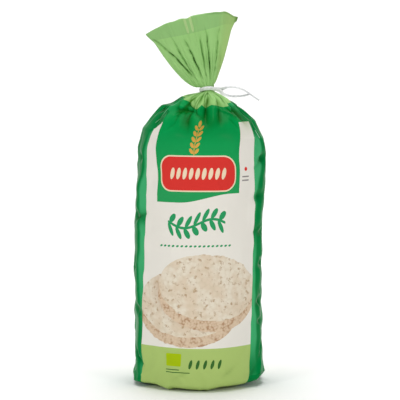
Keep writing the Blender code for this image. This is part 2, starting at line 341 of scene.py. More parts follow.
# %% Creases scored along lines
# Each runs from (degrees round, height in mm) to the same, with its depth and its half-width
# in millimetres. The back has the same creases, turned half way round.
CREASES = (
    (-41, 199, -48, 210, -1.8, 1.8), (-48, 210, -57, 217, -3.0, 2.2),
    (-53, 199, -62, 210, 2.0, 2.6), (-62, 210, -72, 216, 3.0, 2.6),
    (-40, 219, -18, 212.5, 3.8, 2.4), (-38, 212, -12, 210, 4.2, 3.6),
    (-37, 208, -27, 208.8, -1.8, 1.2), (-21, 211, -15, 197, 2.6, 4.6),
    (-28, 221, -20, 216, 1.6, 1.2), (-11.5, 223, -11.6, 216, 2.4, 1.3),
    (-8, 217, -9, 208, -2.2, 1.8),
    (3.6, 222, -0.4, 213.6, 3.8, 1.7), (-0.4, 213.6, 1.2, 201, 4.8, 4.0),
    (22.5, 220, 18, 214, 3.2, 1.4), (18, 214, 15, 202, 4.2, 3.0),
    (34.5, 220.5, 33, 216.4, 2.4, 1.3), (46, 214.5, 48, 203.0, 6.4, 5.6),
    (9, 214, 8, 204, -1.6, 1.6), (17, 213.3, 38, 207.0, -2.4, 1.5), (60, 201, 58, 189, 2.4, 1.4),
    (39, 214, 41, 211, -2.0, 1.0), (26, 206, 33, 199, 1.2, 1.6), (-30, 203, -38, 197, 1.0, 1.8),
    (-78, 125, -52, 134.5, 2.0, 1.5), (-72, 29, -58, 17, 2.2, 1.6),
    (-66, 96, -80, 108, 1.2, 1.2), (56, 119, 68, 126, 1.6, 1.4), (55, 168, 70, 176, 1.4, 1.4),
    (64, 101, 76, 92, 1.6, 1.2), (72, 62, 66, 74, 1.6, 1.2), (66, 22, 76, 33, 1.8, 1.6),
    (20, 11, 34, 18, 1.0, 1.6), (-26, 9, -10, 15, 0.9, 1.6), (50, 5, 60, 16, 1.6, 1.4),
)


@lru_cache(maxsize=None)
def film_length(height):
    """The way up the film from the level of the floor to a height on the wall or dome."""
    steps = 60
    heights = spaced(SHOULDER_START, max(height, SHOULDER_START), steps)
    radii = [dome_radius(level) for level in heights]
    climbed = sum(math.hypot(radii[i + 1] - radii[i], heights[i + 1] - heights[i])
                  for i in range(steps - 1))
    return min(height, SHOULDER_START) + climbed


def crease_lines():
    """(start, end, radius there, depth, half-width) of each crease on the flat film, in mm."""
    found = []
    for turn_a, up_a, turn_b, up_b, depth, width in CREASES:
        radius = dome_radius((up_a + up_b) / 2 * MM) / MM
        ends = [Vector((math.radians(turn) * radius, film_length(up * MM) / MM))
                for turn, up in ((turn_a, up_a), (turn_b, up_b))]
        found.append((*ends, radius, depth, width))
    return found


CREASE_LINES = crease_lines()


def creases(turn, length):
    """(how deep in mm, how far into a valley from 0 to 1) at a place on the film."""
    if abs(turn) > math.pi / 2:
        turn -= math.copysign(math.pi, turn)
    deep, valley = 0.0, 0.0
    for start, end, radius, depth, width in CREASE_LINES:
        away = length / MM - start.y
        if not (-12 < away < 40 or -12 < length / MM - end.y < 12):
            continue
        place = Vector((turn * radius, length / MM))
        run = end - start
        share = clamp((place - start).dot(run) / run.length_squared)
        gap = (place - start - run * share).length
        taper = 0.45 + 0.55 * math.sin(math.pi * share)
        found = math.exp(-gap / width) * taper
        deep += depth * found
        if depth > 0:
            valley = max(valley, found * min(1.0, depth / 2.2))
    return deep, valley


print(len(CREASES), "creases are scored into the film")

# %% The shoulders, and points on the drum and the dome
# (height, distance from the stack's middle) down each side of the dome, in millimetres.
LEFT_SHOULDER = ((183, 49.6), (188, 48.9), (197.4, 47.9), (205.8, 41.6), (213.3, 34.8),
                 (215.0, 32.6), (216.0, 26.5), (217.4, 23.6), (219.4, 20.8), (221.3, 18.0),
                 (222.8, 13.6), (223.8, 8.6), (224.5, 5.3), (225.1, 4.9))
RIGHT_SHOULDER = ((178, 49.6), (184, 48.4), (189, 47.1), (192.3, 44.9), (196.2, 42.4),
                  (203.4, 37.6), (206.9, 32.4), (211.5, 26.4), (213.5, 22.7), (216, 18.0),
                  (222.4, 9.4), (224.4, 6.2), (225.1, 4.9))
SHOULDER_SPREAD = 0.75                # radians round from the middle of a gusset
LEFT_BULGE = 2.8 * MM                 # the gathered panel stands over the ear
TROUGH = 1.3 * MM                     # the film dips in under the gathers
HEEL_EAR = 2.6 * MM
HEEL_EAR_HEIGHT = 6.0 * MM
HEEL_EAR_SPREAD = 0.42
FOOT_LIFTS = (          # degrees round from the front, and how far the rim is off the floor, in mm
    (-180, 1.8), (-150, 0.2), (-132, 2.6), (-112, 0.4), (-90, 0.3), (-76, 0.6), (-55, 2.4),
    (-44, 2.0), (-32, 0.0), (-26, 1.4), (-12, 1.2), (-4, 0.4), (9, 0.3), (19, 2.2), (34, 2.4),
    (50, 1.9), (64, 2.6), (90, 3.2), (112, 0.4), (134, 2.6), (160, 0.0), (180, 1.8),
)
RIM_CRUMPLE = 0.7 * MM
SLIM = 0.6 * MM                       # the film lies this far inside the solid's wall


def along(table, place):
    """The value at a place in a table of (place, value), on straight lines between them."""
    for (first, low), (last, high) in zip(table, table[1:]):
        if place <= last:
            return mix(low, high, clamp((place - first) / (last - first)))
    return table[-1][1]


def shoulder_radius(turn, height):
    """The radius of the dome's form before it is folded."""
    radius = dome_radius(height)
    for side, table in ((-1, LEFT_SHOULDER), (1, RIGHT_SHOULDER)):
        share = bump(angle_between(turn, side * math.pi / 2), 0, SHOULDER_SPREAD)
        radius = mix(radius, along(table, height / MM) * MM, share)
    return radius


def wall_point(turn, height):
    """A point on the drum or the dome."""
    radius = shoulder_radius(turn, height) - SLIM * smooth_step(220 * MM, 200 * MM, height)
    on_wall = 1 - smooth_step(SHOULDER_START - 6 * MM, SHOULDER_START + 8 * MM, height)
    radius += on_wall * wall_relief(turn, height)
    at_heel = bump(height, HEEL_EAR_HEIGHT, HEEL_EAR_HEIGHT)
    radius += HEEL_EAR * at_heel * at_side(turn, HEEL_EAR_SPREAD)
    pinched = smooth_step(DRUM_RADIUS, 0.58 * DRUM_RADIUS, radius)
    at_neck = smooth_step(DOME_TO_NECK, NECK_RADIUS, radius)
    bulge = LEFT_BULGE * bump(turn, math.radians(-47), 0.22) * bump(height, 218.5 * MM, 4 * MM)
    trough = TROUGH * bump(height, 211.5 * MM, 4.5 * MM) * (1 - at_side(turn))
    depth = mix(DOME_PLEAT_DEPTH * pinched, NECK_PLEAT_DEPTH, at_neck)
    radius += depth * uneven_pleats(turn)
    drawn = smooth_step(196 * MM, 211 * MM, height)
    radius -= STREAK_DEPTH * drawn * streaks(turn, film_length(height)) * (1 - at_neck)
    radius += (1 - at_neck) * (bulge - trough - creases(turn, film_length(height))[0] * MM)
    return Vector((lean(height) + radius * math.sin(turn), -radius * math.cos(turn), height))


def rim_lift(turn):
    """How far the crumpled rim of the underside is off the floor: 0 where the bag stands."""
    ring = Vector((math.sin(turn), math.cos(turn), 0.4))
    return along(FOOT_LIFTS, math.degrees(turn)) * MM + RIM_CRUMPLE * abs(noise.noise(ring * 9.0))


def foot_point(turn, share):
    """A point on the heel, from the flat underside (share 0) up to the wall (share 1)."""
    swing = share * math.pi / 2
    height = HEEL_RADIUS * (1 + HEEL_UNEVEN * math.sin(turn)) + rim_lift(turn)
    wall = wall_point(turn, height)
    rim = base_point(turn, 1)
    out = mix(rim, wall, math.sin(swing))
    out.z = mix(rim.z, height, 1 - math.cos(swing))
    return out


def base_point(turn, share):
    """A point on the flat underside, from near its middle (share 0) to its rim (share 1)."""
    radius = mix(0.4 * MM, FOOT_RADIUS, share)
    lift = rim_lift(turn) * smooth_step(0.72, 1.0, share)
    return Vector((radius * math.sin(turn), -radius * math.cos(turn), lift))


print("front of the drum at half height:", [round(c / MM, 1) for c in wall_point(0.0, 0.1)])

# %% [markdown]
# ## The fan above the tie
#
# Above the tie the tube opens out again and is pressed flat, front on back, into a sealed
# band along the top. The width that the neck took up is let out in long folds, which start
# deep and dark at the neck and die away towards the seal.

# %% Points on the fan
FAN_HALF_THICKNESS = 3.0 * MM
SEAL_HALF_THICKNESS = 0.35 * MM
SEAL_RUFFLE = 0.25
SEAL_DROP = 3.2 * MM                  # the right-hand corner of the seal hangs down
SEAL_PLEAT = (-0.16, -0.02)           # a flat pleat is caught in the seal between these
SEAL_PLEAT_DEPTH = 1.0 * MM
FAN_WAVE_DEPTH = 1.4 * MM
FAN_WAVES = 1.6
FAN_STEEP = 0.35
# Place across the fan (-1 to 1) at the neck and at the seal, depth, half-width, and the share
# of the fan's height where the fold has died away.
FAN_VALLEYS = (
    (-0.42, -0.86, 4.2 * MM, 0.034, 1.05),
    (-0.45, -0.57, 3.4 * MM, 0.030, 0.92),
    (-0.12, -0.30, 4.6 * MM, 0.036, 0.80),
    (0.08, 0.12, 2.8 * MM, 0.034, 0.80),
    (0.34, 0.30, 4.4 * MM, 0.030, 0.90),
    (0.62, 0.66, 2.4 * MM, 0.050, 0.95),
)


def fan_half_width(share, across):
    """The fan's half-width on one side (across from -1 to 1) at a share of its height."""
    climb = share * FAN_SIDE_LENGTH / MM
    left, right = (gain * climb ** power for gain, power in (LEFT_FLARE, RIGHT_FLARE))
    tip = SEAL_TIP * smooth_step(0.8, 1.0, share) * smooth_step(0.75, 1.0, -across)
    tab = SEAL_TAB * smooth_step(0.90, 0.925, share) * smooth_step(0.93, 0.99, across)
    return NECK_RADIUS + mix(left, right, smooth_step(-1, 1, across)) + tip + tab


def fan_valleys(across, share):
    """(depth, how far in: 0 to 1) of each long fold, which is steep on its right side alone."""
    found = []
    for at_neck, at_seal, depth, width, end in FAN_VALLEYS:
        line = mix(at_neck, at_seal, share / SEAL_START)
        line += 0.03 * noise.noise(Vector((share * 7, at_seal * 9, 0)))
        past = across - line
        profile = math.exp(-abs(past) / (width * (FAN_STEEP if past > 0 else 1)))
        profile *= 0.85 + 0.7 * noise.noise(Vector((share * 17, at_neck * 11, 6.0)))
        found.append((depth, profile * (1 - smooth_step(0.6 * end, end, share))))
    return found


def fan_folds(across, share):
    """How far both layers lie back in the folds that run up the fan from the neck."""
    grown = smooth_step(0.0, ROUND_TO_FLAT, share)
    sealed = smooth_step(ROUND_TO_FLAT, SEAL_START, share)
    wave = FAN_WAVE_DEPTH * math.cos(math.pi * FAN_WAVES * across) * mix(1, SEAL_RUFFLE, sealed)
    folds = 0.0
    folds += sum(depth * found for depth, found in fan_valleys(across, share))
    small = noise.noise(Vector((across * 11, share * 1.6, 4.4)))
    folds += 2.4 * MM * (0.3 - abs(small)) * mix(1, 0.35, sealed)
    pleat_start, pleat_end = SEAL_PLEAT
    on_pleat = (smooth_step(pleat_start - 0.02, pleat_start + 0.01, across)
                * smooth_step(pleat_end + 0.02, pleat_end - 0.01, across))
    folds -= SEAL_PLEAT_DEPTH * on_pleat * smooth_step(0.55, 0.75, share)
    return grown * (wave + folds)


def top_edge(across):
    """How far the cut edge stands above or below its even curve."""
    steps = 0.5 * MM * noise.noise(Vector((across * 6, 2.7, 0)))
    return (steps - SEAL_DROP * smooth_step(0.76, 1.0, across)
            - 1.1 * MM * smooth_step(0.9, 1.0, across)
            - 0.8 * MM * bump(across, -0.10, 0.07) - 1.2 * MM * smooth_step(-0.75, -1.0, across))


def fan_point(turn, share):
    """A point on the fan at a share of its height: 0 at the neck, 1 at its top edge."""
    flat = smooth_step(0.0, ROUND_TO_FLAT, share)
    even = turn / (math.pi / 2)
    if abs(even) > 1:                      # the back layer runs back from end to end
        even = math.copysign(2, even) - even
    across = mix(math.sin(turn), even, flat)
    climb = share * (FAN_SIDE_LENGTH + FAN_BULGE * (1 - across ** 2))
    climb += top_edge(across) * smooth_step(0.7, 1.0, share)
    half_width = fan_half_width(share, across)
    half_depth = mix(NECK_RADIUS, FAN_HALF_THICKNESS, flat)
    sealed = smooth_step(ROUND_TO_FLAT, SEAL_START, share)
    half_depth = mix(half_depth, SEAL_HALF_THICKNESS, sealed)
    if share == 1:
        half_depth = 0                     # the two layers end in one edge
    sweep = mix(LEFT_SWEEP, RIGHT_SWEEP, smooth_step(-1, 1, across))
    swing = sweep * share ** 1.5 * across ** 2
    gather = NECK_PLEAT_DEPTH * uneven_pleats(turn) * (1 - flat)
    local = Vector((
        across * half_width + gather * math.sin(turn),
        swing + fan_folds(across, share) - (half_depth + gather) * math.cos(turn),
        climb + NECK_HALF_LENGTH,
    ))
    tipped = Matrix.Rotation(-FAN_LEAN, 3, "Y") @ local
    return Vector((lean(NECK_HEIGHT), 0, NECK_HEIGHT)) + tipped


def neck_point(turn, share):
    """A point on the pinched neck, which turns from upright to the fan's lean."""
    below = wall_point(turn, DOME_TOP)
    return mix(below, fan_point(turn, 0), share)


print("the fan's top:", [round(c / MM, 1) for c in fan_point(0.0, 1.0)])

# %% [markdown]
# ## Making the film
#
# The film starts as a small circle under the bag. Its edge is extruded row by row, out to the
# heel, up the wall, over the dome and up the fan, and each new row is moved to its place on
# the form. Every vertex keeps its column and its row, so each face knows where it is on the
# flat film, and the UV map is that place. A smart unwrap would also give a map, but it would
# cut the print into islands.

# %% Rows of film, and where each one is on the flat film
COLUMNS = 256
BASE_ROWS = 20
HEEL_ROWS = 10
WALL_START = 9.5 * MM
WALL_ROWS = 130
DOME_ROWS = 62
FAN_ROWS = 70
FILM_SHEET = (320 * MM, 360 * MM)     # the UV map's whole width and height
FILM_BELOW = 50 * MM                  # the height on the sheet of the level of the floor


def film_rows():
    """(point function, value, way up the film) for every row, from underside to top edge."""
    neck_foot = DOME_TOP
    neck_length = film_length(neck_foot)
    under = -HEEL_RADIUS * 1.3
    rows = [(base_point, share, under - FOOT_RADIUS * (1 - share))
            for share in spaced(0, 1, BASE_ROWS)[:-1]]
    rows += [(foot_point, share, mix(under, HEEL_RADIUS, share))
             for share in spaced(0, 1, HEEL_ROWS)]
    walls = spaced(WALL_START, SHOULDER_START, WALL_ROWS)[:-1]
    walls += [mix(SHOULDER_START, neck_foot, 1 - (1 - share) ** 1.25)
              for share in spaced(0, 1, DOME_ROWS)]
    rows += [(wall_point, height, film_length(height)) for height in walls]
    neck_rise = NECK_HEIGHT + NECK_HALF_LENGTH - neck_foot
    rows += [(neck_point, 0.5, neck_length + neck_rise / 2)]
    fan_foot = neck_length + neck_rise
    rows += [(fan_point, share, fan_foot + share * FAN_SIDE_LENGTH)
             for share in spaced(0, 0.985, FAN_ROWS) + [1]]
    return rows


FILM_TOP = film_rows()[-1][2]
print(len(film_rows()), "rows of film;", round(FILM_TOP / MM), "mm from the floor to the top edge")

# %% Extrude the film
TWIST_AT_FOOT = math.radians(5)       # the print has slipped round a little near the foot
TWIST_AT_TOP = math.radians(3.4)      # and again over the top cake
LIGHT_TOP_LENGTH = film_length(215.8 * MM)


def twist(length):
    """How far the print has slipped round the bag at a way up the film."""
    return (TWIST_AT_FOOT * smooth_step(60 * MM, -10 * MM, length)
            + TWIST_AT_TOP * bump(length, 183 * MM, 13 * MM))


def fold_shade(turn, make_point, value):
    """Painted shade at a point, from 0 to 1: darker in folds, creases, streaks, dents and gathers."""
    if make_point is fan_point:
        across = min(1.0, angle_between(turn, 0) / (math.pi / 2))
        across = math.copysign(across, turn)
        deepest = max(depth * found for depth, found in fan_valleys(across, value))
        valley = clamp(deepest / (4.4 * MM)) ** 2 * smooth_step(0, 0.1, value)
        # Painted shade under the folded corner of the seal, and along the right of its cut edge.
        corner = smooth_step(0.08, 0.03, angle_between(turn, math.pi / 2))
        corner *= 0.75 * smooth_step(0.90, 0.93, value)
        cut_edge = 0.4 * smooth_step(0.965, 0.985, value) * smooth_step(0.25, 0.5, across)
        return max(valley, corner, cut_edge)
    if make_point is wall_point:
        pinched = smooth_step(206 * MM, 216 * MM, value)
        valley = clamp(-uneven_pleats(turn)) ** 3
        crease = creases(turn, film_length(value))[1]
        streak = smooth_step(196 * MM, 211 * MM, value) * streaks(turn, film_length(value))
        # Painted shade in blotches round the gathered band under the tie, off the gussets.
        round_place = Vector((math.sin(turn), -math.cos(turn), value / (30 * MM))) * 3.1
        gathered_shade = clamp(0.45 + 1.3 * noise.noise(round_place)) * bump(value, 208 * MM, 11 * MM)
        gathered_shade *= 1 - at_side(turn, 0.9)
        # Painted shade round the front of the dome, and in one fold on its right.
        collar_shade = 0.3 * bump(turn, 0.16, 0.62) * smooth_step(186 * MM, 200 * MM, value)
        collar_shade += 0.3 * bump(turn, 0.88, 0.14) * bump(value, 207 * MM, 8 * MM)
        near_tie = smooth_step(213 * MM, 219 * MM, value)
        found = (0.5 * pinched * valley + 0.75 * crease ** 1.5 + 0.75 * streak + 0.35 * gathered_shade
                 + 0.35 * (1 - pinched) * buckles(turn, value) + collar_shade * (1 - near_tie))
        return clamp(mix(1.05, 1.4, near_tie) * found)
    return 0.0


# Where the light green of the gathered end starts: (degrees round, height in mm).
LIGHT_LINE = (
    (-90, 221.5), (-58, 221), (-41, 219), (-30, 216.5), (-18, 213.2), (-12, 212.6), (-7, 216),
    (-1, 213.4), (7, 216), (16, 215.4), (25, 214.2), (34, 214.7), (43, 216), (50, 216.8),
    (90, 218.5),
)


def gusset_sheen(turn, make_point, value):
    """How much painted sheen the gusset has at a point, from 0 to 1."""
    return sheen_strip(turn, value) if make_point is wall_point else 0.0


def print_slip(turn, make_point, value):
    """How far gathering has pulled the print down (or, below 0, up) at a point on the film."""
    if make_point is wall_point:
        round_from_front = math.degrees(turn)
        if abs(turn) > math.pi / 2:
            round_from_front -= math.copysign(180, turn)
        drawn_to = along(LIGHT_LINE, round_from_front) * MM
        gathered = smooth_step(204 * MM, 213 * MM, value) * smooth_step(NECK_HEIGHT, 221 * MM, value)
        return gathered * (LIGHT_TOP_LENGTH - film_length(drawn_to))
    if make_point is fan_point:
        across = min(1.0, angle_between(turn, 0) / (math.pi / 2))
        if angle_between(turn, 0) > math.pi / 2:
            across = 2 - angle_between(turn, 0) / (math.pi / 2)
        return -0.11 * FAN_SIDE_LENGTH * across ** 2 * value
    return 0.0


def film_place(column, length):
    """The UV of a column (0 at the back seam, half way at the front) and a way up the film."""
    turn = 2 * math.pi * column / COLUMNS - math.pi + twist(length)
    return turn * DRUM_RADIUS / FILM_SHEET[0] + 0.5, (length + FILM_BELOW) / FILM_SHEET[1]


def extruded_ring(bm, ring):
    """Extrudes a closed ring of vertices, and returns the new ring in the same order."""
    edges = [bm.edges.get(pair) for pair in zip(ring, ring[1:] + ring[:1])]
    grown = set(bmesh.ops.extrude_edge_only(bm, edges=edges)["geom"])
    return [next(edge.other_vert(old) for edge in old.link_edges
                 if edge.other_vert(old) in grown) for old in ring]


def lay_uvs(bm, column_of, length_of):
    """Gives every face corner its place on the flat film, closed at the seam in the back."""
    uv = bm.loops.layers.uv.new("film_sheet")
    for face in bm.faces:
        columns = [corner.vert[column_of] for corner in face.loops]
        crosses_seam = max(columns) - min(columns) > COLUMNS / 2
        for corner, column in zip(face.loops, columns):
            if crosses_seam and column < COLUMNS / 2:
                column += COLUMNS
            corner[uv].uv = film_place(column, corner.vert[length_of])


def film_mesh():
    """The closed film, from the middle of its underside to its shut top edge."""
    bm = bmesh.new()
    column_of = bm.verts.layers.int.new("column")
    length_of = bm.verts.layers.float.new("length")
    # Two layers for the film's material: painted shade in the folds, and a painted sheen on the
    # gussets.
    fold_shade_of = bm.verts.layers.float.new("fold_shade")
    sheen_of = bm.verts.layers.float.new("painted_sheen")
    turns = [2 * math.pi * i / COLUMNS - math.pi for i in range(COLUMNS)]
    ring = bmesh.ops.create_circle(bm, cap_ends=True, segments=COLUMNS, radius=1)["verts"]
    for number, (make_point, value, length) in enumerate(film_rows()):
        if number > 0:
            ring = extruded_ring(bm, ring)
        for column, (vert, turn) in enumerate(zip(ring, turns)):
            vert.co = make_point(turn, value)
            vert[column_of] = column
            vert[length_of] = length + print_slip(turn, make_point, value)
            vert[fold_shade_of] = fold_shade(turn, make_point, value)
            vert[sheen_of] = gusset_sheen(turn, make_point, value)
    lay_uvs(bm, column_of, length_of)
    bmesh.ops.remove_doubles(bm, verts=ring, dist=0.01 * MM)
    bmesh.ops.recalc_face_normals(bm, faces=bm.faces)
    if bm.calc_volume(signed=True) < 0:
        bmesh.ops.reverse_faces(bm, faces=bm.faces)
    mesh = bpy.data.meshes.new("printed_film")
    bm.to_mesh(mesh)
    bm.free()
    mesh.shade_smooth()
    return mesh


film = bpy.data.objects.new("printed_film", film_mesh())
bpy.context.scene.collection.objects.link(film)
print("the film has", len(film.data.vertices), "vertices")

# %% [markdown]
# ## Materials: helpers
#
# A colour on a screen is stored as sRGB, but a renderer works in linear light, so one
# function turns a hex value into linear. One more adds a node with its settings and links.
# With those two, a printed design can be written down as shapes, one line each.

# %% Colours and nodes


def linear(hex_colour):
    """A hex colour such as "2F9E58" as linear red, green, blue and alpha."""
    parts = [int(hex_colour[i:i + 2], 16) / 255 for i in (0, 2, 4)]
    return (*[p / 12.92 if p <= 0.04045 else ((p + 0.055) / 1.055) ** 2.4 for p in parts], 1.0)


def add_node(tree, kind, *values, **settings):
    """Adds a node with its settings, and returns its first live output.

    The values fill its live inputs in order: a socket is linked, a number, vector or colour
    is set, and None leaves that input as it is.
    """
    made = tree.nodes.new("ShaderNode" + kind)
    for name, setting in settings.items():
        setattr(made, name, setting)
    live = [socket for socket in made.inputs if socket.enabled]
    for socket, value in zip(live, values):
        if isinstance(value, bpy.types.NodeSocket):
            tree.links.new(value, socket)
        elif value is not None:
            socket.default_value = value
    return next(socket for socket in made.outputs if socket.enabled)


def new_material(name, **sockets):
    """A material with a Principled shader, and a function that adds nodes to it."""
    made = bpy.data.materials.new(name)
    made.use_nodes = True
    shader = made.node_tree.nodes["Principled BSDF"]
    for socket, value in sockets.items():
        shader.inputs[socket.replace("_", " ")].default_value = value
    return made, shader, partial(add_node, made.node_tree)


print("mid grey in linear light:", round(linear("808080")[0], 3))

# %% [markdown]
# ## The print
#
# The bag is gravure-printed polypropylene: flat inks under a satin varnish. The print is
# fields of colour and simple shapes, drawn in millimetres on the flat film. Each shape is a
# mask, 1 inside and 0 outside, and each mask paints one ink over what lies below it. An image
# would be quicker to make, but masks stay sharp at any distance and need no file.

# %% Shapes on the flat film, in millimetres


def oval(add, place, centre, radii, angle=0.0):
    """A mask of an ellipse. The angle is in degrees, anticlockwise."""
    local = add("Mapping", place, (*centre, 0), (0, 0, math.radians(angle)), (*radii, 1),
                vector_type="TEXTURE")
    away = add("VectorMath", local, operation="LENGTH")
    return add("Math", away, 1.0, operation="LESS_THAN")


def box(add, place, centre, half, corner=0.01, angle=0.0):
    """A mask of a rectangle with round corners."""
    local = add("Mapping", place, (*centre, 0), (0, 0, math.radians(angle)), (1, 1, 1),
                vector_type="TEXTURE")
    folded = add("VectorMath", local, operation="ABSOLUTE")
    past = add("VectorMath", folded, (half[0] - corner, half[1] - corner, 1),
               operation="SUBTRACT")
    outside = add("VectorMath", past, (0, 0, 0), operation="MAXIMUM")
    away = add("VectorMath", outside, operation="LENGTH")
    return add("Math", away, corner, operation="LESS_THAN")


def repeated(add, place, centre, pitch):
    """The place again in every cell of a row or column. A pitch of 0 doesn't repeat."""
    reach = [p / 2 if p else 1000 for p in pitch]
    local = add("VectorMath", place, (*centre, 0), operation="SUBTRACT")
    return add("VectorMath", local, (*reach, 1000), (-reach[0], -reach[1], -1000),
               operation="WRAP")


def both(add, first, second):
    return add("Math", first, second, operation="MULTIPLY")


def above(add, value, level):
    return add("Math", value, level, operation="GREATER_THAN")


def paint(add, below, mask, ink):
    """An ink over what is below it, where its mask is 1."""
    return add("Mix", mask, below, ink, data_type="RGBA")


print("shapes: oval, box, repeated")

# %% [markdown]
# ### Rice cakes in the print
#
# A puffed rice cake is a low disc of swollen grains: cream on its faces, with darker specks
# where the husk shows, and toasted round its side. Two of them overlap on the front panel. A
# disc seen from above at a slant is an ellipse, and its side is the same ellipse drawn again
# all the way down to the disc's thickness.

# %% A printed rice cake
GRAIN_SIZE = 3.2          # a puffed grain, in millimetres
CAKE_FACE = "E8DECC"
CAKE_WARM = "E0CFB8"
CAKE_SHADE = "D2C2A6"
CAKE_SIDE = "DFC9AE"
CAKE_TOAST = "A97C58"
CAKE_SPECK = "B49571"


def cake_mask(add, place, centre, radii, angle, thickness):
    """Masks of a disc's face and of its whole outline, which is the face swept downwards."""
    ragged = add("TexNoise", place, 0.16, 2.0, 0.6, noise_dimensions="2D")
    ragged = add("Math", add("Math", ragged, 0.5, operation="SUBTRACT"), 2.4,
                 operation="MULTIPLY")
    place = add("VectorMath", place, add("CombineXYZ", ragged, ragged), operation="ADD")
    local = add("Mapping", place, (*centre, 0), (0, 0, math.radians(angle)), (1, 1, 1),
                vector_type="TEXTURE")
    parts = add("SeparateXYZ", local)
    height = parts.node.outputs["Y"]
    down = add("Math", height, -thickness, operation="MAXIMUM")
    down = add("Math", down, 0.0, operation="MINIMUM")
    swept = add("CombineXYZ", parts, add("Math", height, down, operation="SUBTRACT"))
    return [oval(add, shape, (0, 0), radii) for shape in (local, swept)]


def printed_cake(add, below, place, centre, radii, angle, thickness):
    """A pictured rice cake, painted over what is below it."""
    face, outline = cake_mask(add, place, centre, radii, angle, thickness)
    puffs = add("TexVoronoi", place, 1 / GRAIN_SIZE, voronoi_dimensions="2D", feature="F1")
    grains = add("TexVoronoi", place, 1.6 / GRAIN_SIZE, voronoi_dimensions="2D", feature="F1")
    browned = add("TexNoise", place, 0.21, 3.0, 0.6, noise_dimensions="2D")
    browned = both(add, add("MapRange", grains, 0.25, 0.70, 0.25, 1.0),
                   add("MapRange", browned, 0.40, 0.62, 0.12, 0.85))
    side = add("Mix", browned, linear(CAKE_SIDE), linear(CAKE_TOAST), data_type="RGBA")
    patches = add("TexNoise", place, 0.07, 2.0, 0.6, noise_dimensions="2D")
    top = add("Mix", add("MapRange", patches, 0.40, 0.62, 0.0, 1.0), linear(CAKE_FACE),
              linear(CAKE_WARM), data_type="RGBA")
    top = add("Mix", add("MapRange", puffs, 0.30, 0.80, 0.0, 0.4), top, linear(CAKE_SHADE),
              data_type="RGBA")
    speck = add("TexNoise", place, 0.25, 3.0, 0.65, noise_dimensions="2D")
    top = add("Mix", add("MapRange", speck, 0.575, 0.70, 0.0, 0.8), top, linear(CAKE_SPECK),
              data_type="RGBA")
    return paint(add, paint(add, below, outline, side), face, top)


print("a printed cake has grains", GRAIN_SIZE, "mm across")

# %% [markdown]
# ### The inks, laid down in order
#
# The white underprint carries everything. Over it lie the green of the gussets and top, the
# light green of the foot and of the gathered end, and the ornaments of the front panel: a
# red plaque with a row of grains, an ear of rice, a leafy sprig and a few plain marks.

# %% Lay down the inks
SHEET_MM = (FILM_SHEET[0] / MM, FILM_SHEET[1] / MM)
BELOW_MM = FILM_BELOW / MM
HALF_ROUND = math.pi * DRUM_RADIUS / MM          # from the front to the back seam
PANEL_HALF = 48.3
LEFT_EDGE_IN = 2.5                    # the left edge lies this much further in, higher up
PANEL_TOP = film_length(203.2 * MM) / MM
LIGHT_TOP = LIGHT_TOP_LENGTH / MM
FOOT_BAND = 33.6
SEAL_LINE = (FILM_TOP - (1 - 0.765) * FAN_SIDE_LENGTH) / MM

# One green ink in two copies: painted shade on the gussets, painted light above the panel.
INK_GREEN_SHADED = "00813F"
# Painted sheen: the gussets' green, lighter on the strip beside the front panel.
INK_SHEEN = "42B072"
INK_GREEN_LIT = "009C50"
INK_FIELD = "2C9E5A"
INK_CREAM = "ECE8DF"
INK_FOOT = "AFC874"
INK_LIGHT = "9FCF80"
INK_SEAL = "95C47B"
INK_RIGHT_END_TINT = "A6BE70"
# Painted highlights along hard folds, in the seal and on the gussets.
INK_SEAL_HIGHLIGHT = "D6E3A6"
INK_FOLD_HIGHLIGHT = "BCE0CB"
INK_RED = "DC3A34"
INK_KEYLINE = "F3DDBE"
INK_GOLD = "E0A94E"
INK_SPRIG = "2F9C62"
INK_LIME = "A9C313"
INK_MARK = "3C6B32"
INK_NOTE = "8F8B88"


def ground(add, place, across, up):
    """The large fields: green, the cream panels, the foot band and the gathered end."""
    # Painted sheen: the gusset green turns lighter on the strip beside each panel.
    painted_sheen = add("Attribute", attribute_name="painted_sheen").node.outputs["Fac"]
    inks = add("Mix", painted_sheen, linear(INK_GREEN_SHADED), linear(INK_SHEEN), data_type="RGBA")
    from_panel = add("Math", across, HALF_ROUND, operation="PINGPONG")
    from_panel = add("Math", from_panel, add("Math", HALF_ROUND, from_panel, operation="SUBTRACT"),
                     operation="MINIMUM")
    drawn_in = both(add, add("Math", across, 0.0, operation="LESS_THAN"),
                    add("MapRange", up, 70.0, 100.0, 0.0, LEFT_EDGE_IN))
    edge = add("Math", PANEL_HALF, drawn_in, operation="SUBTRACT")
    on_panel = add("Math", from_panel, edge, operation="LESS_THAN")
    # Painted light: the same green, lighter on the front and back above the panel, darker towards the
    # sides.
    over_top = both(add, add("MapRange", from_panel, 36.0, 50.0, 1.0, 0.0),
                    above(add, up, PANEL_TOP))
    inks = paint(add, inks, over_top, linear(INK_GREEN_LIT))
    below_top = add("Math", up, PANEL_TOP, operation="LESS_THAN")
    panel = both(add, on_panel, below_top)
    inks = paint(add, add("Mix", panel, inks, linear(INK_CREAM), data_type="RGBA"),
                 both(add, panel, add("Math", up, FOOT_BAND, operation="LESS_THAN")),
                 linear(INK_FOOT))
    inks = paint(add, inks, above(add, up, LIGHT_TOP), linear(INK_LIGHT))
    inks = paint(add, inks, above(add, up, SEAL_LINE), linear(INK_SEAL))
    # A yellower green towards the right-hand end of the light green top.
    from_right = add("Math", add("Math", across, HALF_ROUND / 2, operation="SUBTRACT"),
                     operation="ABSOLUTE")
    right_end_tint = both(add, above(add, up, LIGHT_TOP),
                    add("MapRange", from_right, 10.0, 30.0, 0.5, 0.0))
    return paint(add, inks, right_end_tint, linear(INK_RIGHT_END_TINT)), panel


